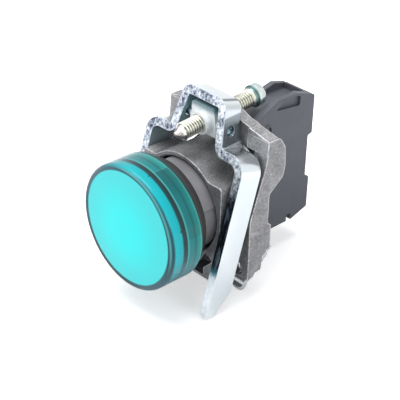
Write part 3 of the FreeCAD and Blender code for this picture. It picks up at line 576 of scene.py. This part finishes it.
def set_studio():
    """Pale floor, plain world and three soft lamps that point at the object."""
    bpy.context.scene.view_settings.view_transform = "Standard"
    set_floor()
    set_world()
    for name, place, size, power in lamps:
        light = bpy.data.lights.new(name, "AREA")
        light.shape = "RECTANGLE"
        light.size, light.size_y = size
        light.energy = power
        lamp = bpy.data.objects.new(name, light)
        lamp.location = place
        lamp.rotation_euler = (-Vector(place)).to_track_quat("-Z", "Y").to_euler()
        bpy.context.scene.collection.objects.link(lamp)


def new_object(name, shape):
    """Turn a finished bmesh into an object of the scene."""
    mesh = bpy.data.meshes.new(name)
    shape.to_mesh(mesh)
    shape.free()
    piece = bpy.data.objects.new(name, mesh)
    bpy.context.scene.collection.objects.link(piece)
    return piece


def translucent_lens():
    """Teal lens: bright face, a rounded edge with painted shade, bands from what lies behind the
    wall, and a painted reflection and highlight on the side.
    """
    finish = Finish(
        "lens_teal", Roughness=0.26, Specular_IOR_Level=0.22, Coat_Weight=0.1, Coat_Roughness=0.08)
    x, y, z = finish.axes("XYZ")
    reach = (x * x + z * z) ** 0.5
    lit = (x * lens_slant + z * lens_slant) / reach
    across = (x * lens_slant - z * lens_slant) / reach
    radius = reach / MM
    depth = (y - lens_front) / MM
    waver = (finish.noise(*lens_cloud) - 0.5) * lens_band_waver
    band = depth - across * lens_band_lean + waver

    side = finish.ramp(band / lens_length, lens_bands)
    turn = z.angle(x).repeated(2 * math.pi / lens_lug_count)
    side = lens_marks(finish, side, turn, band)
    # Painted reflection of the top lamp, shown where the side is neither lit nor far
    pale = finish.mix(depth.fade(*lens_reflection_depth), *lens_painted_reflection)
    banded = lit.fade(*lens_lit_side) + (1 - lit.fade(*lens_far_side))
    side = finish.mix(banded, pale, side)
    # Painted highlight on the rounded edge, on the lit side near the front
    highlight = radius.between(*lens_highlight_radius, lens_highlight_softness)
    highlight = highlight * lit.fade(*lens_highlight_side) * (1 - depth.fade(*lens_highlight_depth))
    side = finish.tint(side, highlight, *lens_highlight)

    face = finish.mix(radius.fade(*lens_face_radius), *lens_face)
    # Painted shade: the rounded edge turns to the dark side bands, less far in on the lit side
    rim = (radius - lit * lens_rim_lean).fade(*lens_rim_radius)
    finish.set("Base Color", finish.mix(rim, face, side))
    rings = finish.add(
        "ShaderNodeTexWave", {"wave_type": "BANDS", "bands_direction": "Y"},
        {"Vector": finish.place, "Scale": lens_grip_rings, "Distortion": 0.3, "Detail": 1}, "Fac")
    grip = rings * depth.fade(*lens_grip_depth)
    height = grip * lens_grip_height + finish.noise(lens_grain) * lens_grain_height
    finish.bump(height, *lens_relief)
    finish.dress("lens_cap")


def lens_marks(finish, side, turn, band):
    """Lugs, their seams and the notches, which show through the side of the lens."""
    soft = lens_mark_softness
    lug = turn.between(*lens_lug_turn, lens_lug_softness)
    lug = lug * band.between(lens_lug_top, lens_skirt_end, soft)
    # Painted shade: each lug shows darker towards one end of its third
    strength = lens_lug_faint + turn.fade(*lens_lug_shade_turn) * lens_lug_shade_strength
    side = finish.tint(side, lug, lens_lug, strength)
    seam = 1 - (turn - lens_lug_turn[1]).size().fade(*lens_seam_width)
    seam = seam * band.between(lens_seam_top, lens_skirt_end, soft)
    side = finish.tint(side, seam, *lens_seam)
    for place in lens_notch_turns:
        notch = 1 - (turn - place).size().fade(*lens_notch_width)
        notch = notch * band.between(*lens_notch_depth, soft)
        side = finish.tint(side, notch, *lens_notch)
    return side


def dark_rubber():
    """Dark brown rubber of the gasket and seal, painted near-black at the rear as the shadow where
    it meets the nozzle.
    """
    finish = Finish("gasket_rubber", Roughness=0.62)
    spots = finish.noise(*rubber_spots)
    front = finish.mix(spots, *rubber_front)
    # Painted shadow: the rear of the rubber, where it meets the nozzle, is near-black
    rear = finish.mix(spots, *rubber_rear_shadow)
    finish.set("Base Color", finish.mix(finish.axes("Y").fade(*rubber_step), front, rear))
    finish.bump(finish.noise(rubber_grain), *rubber_relief)
    finish.dress("panel_gasket", "lens_seal")


def moulded_grey():
    """Satin grey plastic of the head and nozzle, with its sharp edges and steps painted dark as
    shade lines.
    """
    finish = Finish("head_grey", Roughness=0.42)
    tone = finish.mix(finish.noise(*head_spots), *head_grey)
    # Painted shade: dark lines along the sharp edges and steps
    finish.set("Base Color", finish.tint(tone, finish.edges(head_edge), *head_edge_shade))
    finish.bump(finish.noise(*head_grain), *head_relief)
    finish.dress("head_body")


def cast_zinc():
    """Zinc casting: grey skin with a fine cast grain, and bright edges, partly wear and partly a
    painted highlight.
    """
    finish = Finish("zinc_casting", Metallic=0.7, Specular_IOR_Level=0.5)
    grain = finish.noise(*zinc_grain)
    cloud = finish.noise(*zinc_cloud)
    tone = finish.ramp(grain * zinc_grain_share + cloud * zinc_cloud_share, zinc_skin)
    scratches = finish.noise(*zinc_scratches).fade(*zinc_scratch_marks)
    specks = finish.noise(*zinc_specks).fade(*zinc_speck_marks)
    marks = scratches * zinc_scratch_strength + specks * zinc_speck_strength
    tone = finish.mix(marks, tone, zinc_bright)
    # Bright edges, partly wear and partly a painted highlight
    wear_and_highlight = finish.edges(zinc_edge) * finish.noise(*zinc_chips).fade(*zinc_chip_marks)
    finish.set("Base Color", finish.tint(tone, wear_and_highlight, *zinc_wear_and_highlight))
    roughness = zinc_roughness + cloud * zinc_cloud_roughness + wear_and_highlight * zinc_worn_roughness
    finish.set("Roughness", roughness)
    height = grain * zinc_grain_height + finish.noise(zinc_pits) * zinc_pit_height
    finish.bump(height, *zinc_relief)
    finish.dress("fixing_collar")


def plated_steel(name, tones, metallic):
    """Bright zinc plate with a faint cloud and fine roll marks, as a finish and its colour."""
    finish = Finish(name, Metallic=metallic)
    cloud = finish.noise(*plate_cloud)
    finish.set("Roughness", plate_roughness + cloud * plate_cloud_roughness)
    finish.bump(finish.noise(plate_grain), *plate_relief)
    return finish, finish.mix(cloud.fade(*plate_cloud_marks), *tones)


def lever_steel():
    """Plate of the latch lever."""
    finish, plate = plated_steel("lever_zinc", lever_plate, lever_metallic)
    finish.set("Base Color", plate)
    finish.dress("latch_lever")


def nut_steel():
    """Pale nut plate with dark teal painted shade under the hump's roof, and dark glinting pins."""
    finish, plate = plated_steel("nut_zinc", nut_plate, nut_metallic)
    x, z = finish.axes("XZ")
    # Painted shade under the hump's roof
    plate = finish.tint(plate, z.fade(*nut_roof_heights), *nut_shade)
    glints = finish.noise(*nut_glints).fade(*nut_glint_marks)
    pin_end = finish.mix(glints, *nut_pin_end)
    finish.set("Base Color", finish.mix(x.size().fade(*nut_pin_start), plate, pin_end))
    finish.dress("nut_plate")


def bracket_steel():
    """Bracket strip: bluish plate on its faces, painted shade on its inward faces and undersides,
    painted reflections on its walls, and torn sheared edges front and rear.
    """
    finish = Finish("bracket_zinc")
    x, z = finish.axes("XZ")
    cloud = finish.noise(*strip_cloud)
    inward = (finish.facing((-1, 0, 0)) * x).fade(*inner_reach)
    under = finish.facing(strip_down).fade(*under_facing)
    roof = x.size().fade(*under_roof_ends)
    plate = bracket_walls(finish, finish.mix(cloud.fade(*strip_cloud_marks), *strip_plate), z)
    # Painted shade on inward faces
    plate = finish.mix(inward, plate, finish.mix(z.fade(*inner_heights), *inner_painted_shade))
    # Painted shade on the undersides
    plate = finish.tint(plate, under, finish.mix(roof, *under_painted_shade), under_shade_strength)

    torn = finish.facing(strip_rearward).size().fade(*torn_facing)
    patches = finish.noise(*torn_patches)
    finish.set("Base Color", finish.mix(torn, plate, bracket_edge(finish, patches, x, z)))
    inner = inward.most(under * roof) * (1 - torn)
    finish.set("Metallic", 1 - inner * inner_metal_loss)
    roughness = strip_roughness + cloud * strip_cloud_roughness + torn * torn_roughness
    finish.set("Roughness", roughness)
    height = finish.noise(strip_grain) * strip_grain_height + patches * torn * torn_height
    finish.bump(height, *strip_relief)
    finish.dress("clamp_bracket")


def bracket_walls(finish, plate, z):
    """Painted reflections: greyer on the hump's upright walls, darker on their lower part, and dark
    on the bends above them.
    """
    sideways = finish.facing((1, 0, 0)).size()
    wall = sideways.fade(*wall_facing) * z.above(shoulder_line)
    bend = sideways.between(*bend_facing) * z.above(hump_line)
    low = 1 - z.fade(hump_line - hump_line_softness, hump_line + hump_line_softness)
    plate = finish.tint(plate, bend, *bend_painted_reflection)
    plate = finish.tint(plate, wall, *wall_painted_reflection)
    return finish.tint(plate, wall * low, *low_wall_painted_reflection)


def bracket_edge(finish, patches, x, z):
    """Torn edge of the strip, with a pale foot and the dark casting that the right leg mirrors."""
    broad = finish.noise(*torn_broad_patches) * torn_broad_share
    tear = patches * torn_patch_share + broad + x.fade(*torn_right_side) * torn_right_share
    edge = finish.ramp(tear, torn_tones)
    edge = finish.tint(edge, finish.edges(burnished_edge), *burnished_tint)
    right = x.above(0)
    foot = (1 - z.fade(*foot_heights)) * right
    edge = finish.tint(edge, foot, *foot_tint)
    streaks = finish.noise(*mirror_streaks).fade(*mirror_streak_marks)
    mirrored = finish.mix(streaks, *mirror_dark)
    mirrored = finish.mix(z.fade(*mirror_teal_heights), mirror_teal, mirrored)
    dark = z.fade(*mirror_foot_heights) * (1 - z.fade(*mirror_top_heights)) * right
    return finish.tint(edge, dark, mirrored, mirror_strength)


def screw_steel():
    """Yellowish zinc plate of the clamp screw, with painted shade in the roots of its thread and a
    painted shade ring under the head.
    """
    finish = Finish("screw_zinc", Metallic=1.0)
    finish.measure_from(pivot, screw_tilt)
    x, along, z = finish.axes("XYZ")
    radius = (x * x + z * z) ** 0.5
    cloud = finish.noise(*screw_cloud)
    head = finish.mix(cloud.fade(*screw_cloud_marks), *screw_head)
    head_start = screw_seat - screw_shade_before
    shaded = along.between(head_start, screw_seat + screw_shade_behind, screw_shade_softness)
    head = finish.tint(head, shaded, *screw_shade)
    # Painted shade in the thread's roots, lighter towards the crests
    base = finish.mix(radius.fade(thread_root, thread_bright_radius), *thread_shaded_root_and_crest)
    base = finish.mix(along.above(head_start), base, head)
    point = finish.mix(finish.noise(*point_streaks).fade(*point_streak_marks), *point_tones)
    finish.set("Base Color", finish.mix(1 - along.above(screw_cone_end), base, point))
    finish.set("Roughness", screw_roughness + cloud * screw_cloud_roughness)
    finish.bump(finish.noise(screw_grain), *screw_relief)
    return finish.material


def block_plastic():
    """Dark grey moulded plastic with a fine spark-eroded texture, painted darker towards the bottom
    as shade.
    """
    finish = Finish("block_plastic", Roughness=0.5)
    cloud = finish.noise(block_cloud)
    upper = finish.mix(cloud, *block_upper)
    # Painted shade: darker towards the bottom
    lower = finish.mix(cloud, *block_shaded_lower)
    finish.set("Base Color", finish.mix(finish.axes("Z").fade(*block_heights), lower, upper))
    finish.bump(finish.noise(*block_grain), *block_relief)
    finish.dress("block_housing", "block_cover")


def small_finish(name, tones, roughness, metallic, scale, *node_names):
    """Two-tone mottled finish for the small inner parts."""
    finish = Finish(name, Metallic=metallic, Roughness=roughness)
    finish.set("Base Color", finish.mix(finish.noise(scale, small_spot_detail), *tones))
    grain = finish.noise(scale * small_grain_ratio, small_grain_detail)
    finish.bump(grain, *small_relief)
    finish.dress(*node_names)


def spun(shape, profile, turn, steps, lift=0.0):
    """Spin a profile of radius and place about Y; with a lift a step it is a closed helix."""
    line = [shape.verts.new((radius, place, 0)) for radius, place in profile]
    joined = line + line[:1] if lift else line
    edges = [shape.edges.new(pair) for pair in zip(joined, joined[1:])]
    bmesh.ops.spin(
        shape, geom=line + edges, cent=(0, 0, 0), axis=(0, 1, 0), dvec=(0, lift, 0),
        angle=turn, steps=steps, use_merge=lift == 0.0)
    bmesh.ops.remove_doubles(shape, verts=shape.verts, dist=join_distance)


def screw_core():
    """Cone point, core, neck and rounded head as one closed shape, with the pivot at 0."""
    rear = screw_seat + screw_head_height
    edge = screw_head_edge
    turns = [
        math.radians(90 - 90 / screw_head_edge_steps * step)
        for step in range(screw_head_edge_steps + 1)]
    shape = bmesh.new()
    spun(shape, [
        (0, screw_tip), (screw_tip_flat, screw_tip), (screw_tip_radius, screw_tip + screw_tip_edge),
        (thread_root, screw_cone_end - core_from_cone), (thread_root, screw_seat - thread_from_seat),
        (screw_neck_radius, screw_seat - screw_neck_length), (screw_neck_radius, screw_seat),
        (screw_head_radius - screw_head_chamfer, screw_seat),
        (screw_head_radius, screw_seat + screw_head_chamfer),
        *[(screw_head_radius - edge * (1 - math.sin(turn)), rear - edge * (1 - math.cos(turn)))
          for turn in turns],
        (0, rear)], 2 * math.pi, screw_around)
    bmesh.ops.recalc_face_normals(shape, faces=shape.faces)
    return new_object("screw_core", shape)


def cut_cross(core):
    """Cut the driver's cross into the rear of the head and return the cut mesh."""
    cutters = []
    for wide, tall in ((recess_width, recess_length), (recess_length, recess_width)):
        shape = bmesh.new()
        size = Matrix.Diagonal((wide, 2 * recess_depth, tall, 1))
        place = Matrix.Translation((0, screw_seat + screw_head_height, 0))
        bmesh.ops.create_cube(shape, size=1, matrix=place @ size)
        cutter = new_object("recess_cutter", shape)
        modifier = core.modifiers.new("recess", "BOOLEAN")
        modifier.operation = "DIFFERENCE"
        modifier.solver = "EXACT"
        modifier.object = cutter
        cutters.append(cutter)
    bpy.context.view_layer.update()
    graph = bpy.context.evaluated_depsgraph_get()
    mesh = bpy.data.meshes.new_from_object(core.evaluated_get(graph))
    for helper in [core, *cutters]:
        bpy.data.objects.remove(helper)
    return mesh


def threaded_screw(material):
    """The clamp screw with a rolled helical thread, a cone point and a recessed head."""
    start = screw_cone_end - thread_from_cone
    turns = int((screw_seat - thread_from_seat - start) / thread_pitch)
    shape = bmesh.new()
    spun(shape, [
        (thread_foot, start), (thread_crest, start + thread_rise * thread_pitch),
        (thread_crest, start + thread_flat * thread_pitch),
        (thread_foot, start + thread_fall * thread_pitch)],
        2 * math.pi * turns, thread_steps * turns, thread_pitch / thread_steps)
    open_edges = [edge for edge in shape.edges if edge.is_boundary]
    bmesh.ops.holes_fill(shape, edges=open_edges, sides=4)
    bmesh.ops.recalc_face_normals(shape, faces=shape.faces)
    shape.from_mesh(cut_cross(screw_core()))
    bmesh.ops.dissolve_degenerate(shape, edges=shape.edges, dist=sliver_width)
    bmesh.ops.translate(shape, verts=shape.verts, vec=pivot)
    tilt = Matrix.Rotation(screw_tilt, 3, "X")
    bmesh.ops.rotate(shape, verts=shape.verts, cent=pivot, matrix=tilt)
    smooth(shape)
    piece = new_object("clamp_screw_threaded", shape)
    piece.data.materials.append(material)
    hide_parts("clamp_screw")
    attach(piece, "screw")


def smooth(shape):
    """Smooth shading over every edge that is not sharp."""
    for edge in shape.edges:
        edge.smooth = edge.calc_face_angle(math.pi) < smooth_angle
    for face in shape.faces:
        face.smooth = True


set_camera()
set_studio()
translucent_lens()
dark_rubber()
moulded_grey()
cast_zinc()
bracket_steel()
nut_steel()
lever_steel()
threaded_screw(screw_steel())
block_plastic()
for part in small_parts:
    small_finish(*part)
